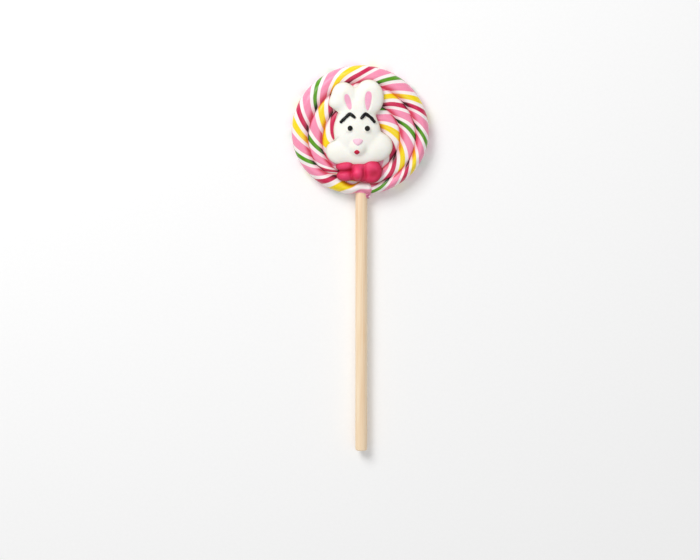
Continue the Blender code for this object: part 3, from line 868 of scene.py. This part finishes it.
def chip_sugar(name):
    """Broken sugar: white with dark pink veins 2.4 mm apart, glossy on its fresh faces."""
    made, tree, shader = blank_material(name)
    place = node(tree, "TexCoord").outputs["Object"]
    vein = node(tree, "TexNoise", {"Vector": place, "Scale": per_metre(2.38), "Detail": 2.0})
    hue = node(
        tree,
        "ValToRGB",
        {0: vein.outputs[0]},
        CHIP_SHADES,
    )
    lift = node(
        tree, "Bump", {"Strength": 0.3, "Distance": 0.2 * MM, "Height": vein.outputs[0]}
    )
    tree.links.new(hue.outputs[0], shader.inputs["Base Color"])
    tree.links.new(lift.outputs[0], shader.inputs["Normal"])
    shader.inputs["Roughness"].default_value = 0.25
    shader.inputs["IOR"].default_value = 1.5
    return made


finish(chip, chip_sugar("broken_boiled_sugar"), "striped_candy", "candy_swirl")

# %% [markdown]
# ## The stick
# The stick is a birch dowel, turned to 6.3 mm and cut with lightly broken edges. It is a
# profile spun about the stick's line. A dowel is never quite true, so the radius
# wanders by a few hundredths of a millimetre along it and around it.

# %% Turned dowel
STICK_TOP, STICK_BOTTOM = (float(c[1]) / MM for c in reversed(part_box("stick")))
STICK_EDGE, EDGE_ROWS = 0.5, 7
DOWEL_ROWS, DOWEL_COLUMNS = 160, 64
# Two slow waves of the radius: their heights, and the mm along the stick for one radian.
WANDER_A, PACE_A, WANDER_B, PACE_B = 0.02, 9, 0.015, 23


def dowel(name):
    """Circles along Y: the stick's radius, less a quarter round of the edge at both ends."""
    bend = np.linspace(0, math.pi / 2, EDGE_ROWS)
    cut = STICK_EDGE * (1 - np.cos(bend))
    inset = STICK_EDGE * (1 - np.sin(bend))
    shaft = np.linspace(STICK_BOTTOM + 1, STICK_TOP - 1, DOWEL_ROWS)
    y = np.concatenate([STICK_BOTTOM + cut, shaft, (STICK_TOP - cut)[::-1]])
    less = np.concatenate([inset, np.zeros(DOWEL_ROWS), inset[::-1]])
    turn = np.linspace(0, math.tau, DOWEL_COLUMNS, endpoint=False)[None, :]
    wander = WANDER_A * np.sin(y[:, None] / PACE_A + 2 * turn)
    wander += WANDER_B * np.sin(y[:, None] / PACE_B + turn)
    r = (STICK_RADIUS - less)[:, None] - WANDER_A - WANDER_B + wander
    across, along_y = STICK_X + r * np.cos(turn), np.broadcast_to(y[:, None], r.shape)
    points = np.stack([across, along_y, HALF_THICKNESS + r * np.sin(turn)], -1)
    caps = [(STICK_X, y[end], HALF_THICKNESS) for end in (0, -1)]
    return skin(name, points, caps)


wooden_stick = dowel("wooden_stick")


def birch(name):
    """Sanded birch: pale cream with fibres and broad warm bands that run along it.

    The fibres are drawn 0.4 mm wide and 25 mm long, coarser than the real ones, so that they
    show. The bands are 2.4 mm wide and 111 mm long.
    """
    made, tree, shader = blank_material(name)
    place = node(tree, "TexCoord").outputs["Object"]
    fine = (per_metre(0.417), per_metre(25), per_metre(0.417))
    wide = (per_metre(2.38), per_metre(111), per_metre(2.38))
    fibres = node(tree, "Mapping", {"Vector": place, "Scale": fine}).outputs[0]
    fibre = node(tree, "TexNoise", {"Vector": fibres, "Scale": 1.0, "Detail": 4.0})
    bands = node(tree, "Mapping", {"Vector": place, "Scale": wide}).outputs[0]
    band = node(tree, "TexNoise", {"Vector": bands, "Scale": 1.0, "Detail": 2.0})
    pale = node(
        tree,
        "ValToRGB",
        {0: fibre.outputs[0]},
        ((0.0, "e8c096"), (0.35, "f4d6ae"), (0.55, "fbe6c6"), (1.0, "fdeed6")),
    )
    warm = node(tree, "MapRange", {0: band.outputs[0], 1: 0.4, 2: 0.75, 4: 0.45})
    hue = node(
        tree,
        "Mix",
        {0: warm.outputs[0], MIX_A: pale.outputs[0], MIX_B: colour("ecc29a")},
        data_type="RGBA",
    )
    lift = node(
        tree, "Bump", {"Strength": 0.35, "Distance": 0.1 * MM, "Height": fibre.outputs[0]}
    )
    tree.links.new(hue.outputs[MIX_RESULT], shader.inputs["Base Color"])
    tree.links.new(lift.outputs[0], shader.inputs["Normal"])
    shader.inputs["Roughness"].default_value = 0.62
    return made


finish(wooden_stick, birch("sanded_birch"), "birch_wood", "stick")
print("stick from y", round(STICK_BOTTOM, 1), "to", round(STICK_TOP, 1))

# %% [markdown]
# ## Floor, light and camera
# The lollipop lies on a white sheet under a large soft light, as small goods are
# photographed. The camera looks almost straight down, and the main light is broad
# and a little to the upper left, so that shadows stay short and pale.


# %% White sheet
def white_sheet():
    """A plain plane at the height the candy rests on, in near-white paper."""
    mesh = bpy.data.meshes.new("white_sheet")
    half = 3.0
    corners = [(-half, -half, 0), (half, -half, 0), (half, half, 0), (-half, half, 0)]
    mesh.from_pydata(corners, [], [(0, 1, 2, 3)])
    sheet = bpy.data.objects.new("white_sheet", mesh)
    bpy.context.scene.collection.objects.link(sheet)
    made, tree, shader = blank_material("matt_paper")
    place = node(tree, "TexCoord").outputs["Object"]
    fleck = node(tree, "TexNoise", {"Vector": place, "Scale": per_metre(1.667)})
    hue = node(tree, "ValToRGB", {0: fleck.outputs[0]}, ((0.0, "fcfcfc"), (1.0, "ffffff")))
    tree.links.new(hue.outputs[0], shader.inputs["Base Color"])
    shader.inputs["Roughness"].default_value = 0.9
    shader.inputs["Specular IOR Level"].default_value = 0.0
    mesh.materials.append(made)
    sheet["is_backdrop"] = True


white_sheet()
print("stage: a white sheet, 6 m square")


# %% Lights
def soft_light(name, place, aim, size, watts):
    """A square area light that looks at a point."""
    data = bpy.data.lights.new(name, "AREA")
    data.size, data.energy = size, watts
    lamp = bpy.data.objects.new(name, data)
    lamp.location = place
    lamp.rotation_euler = (Vector(aim) - Vector(place)).to_track_quat("-Z", "Y").to_euler()
    bpy.context.scene.collection.objects.link(lamp)


soft_light("key_light", (-0.5, 0.65, 0.9), (0, 0, 0), 0.6, 9.5)
soft_light("fill_light", (0.3, -0.2, 1.3), (0, -0.05, 0), 1.0, 3.0)
world = bpy.data.worlds.new("white_room")
world.use_nodes = True
world.node_tree.nodes["Background"].inputs["Color"].default_value = (1, 1, 1, 1)
world.node_tree.nodes["Background"].inputs["Strength"].default_value = 0.42
bpy.context.scene.world = world
bpy.context.scene.view_settings.view_transform = "Standard"
print("lights: key_light, fill_light and", world.name)

# %% Camera
# A lens of 116.6 mm from 1.2 m away, leaned by 7 degrees off the straight view down.
CAMERA_PLACE, CAMERA_AIM = Vector((0.0, 0.067, 1.189)), Vector((-0.0057, -0.0786, 0.0104))
camera_data = bpy.data.cameras.new("camera")
camera_data.lens, camera_data.sensor_width = 116.6, 36.0
camera = bpy.data.objects.new("camera", camera_data)
camera.location = CAMERA_PLACE
backwards = (CAMERA_PLACE - CAMERA_AIM).normalized()
rightwards = Vector((0, 1, 0)).cross(backwards).normalized()
upwards = backwards.cross(rightwards)
camera.rotation_euler = Matrix((rightwards, upwards, backwards)).transposed().to_euler()
bpy.context.scene.collection.objects.link(camera)
bpy.context.scene.camera = camera
print("camera distance in m:", round((CAMERA_PLACE - CAMERA_AIM).length, 2))

# %% [markdown]
# ## Sizes
# The visible pieces should fill the box of the solid model and hardly pass it. Two boxes
# side by side show that at once, more plainly than a look from every side would.

# %% Sizes, and the end
boxes = {"cad": cad_box, "visual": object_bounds()}
for name, (low, high) in boxes.items():
    print(name, "box in mm:", [round(v / MM, 2) for v in (*low, *high)])
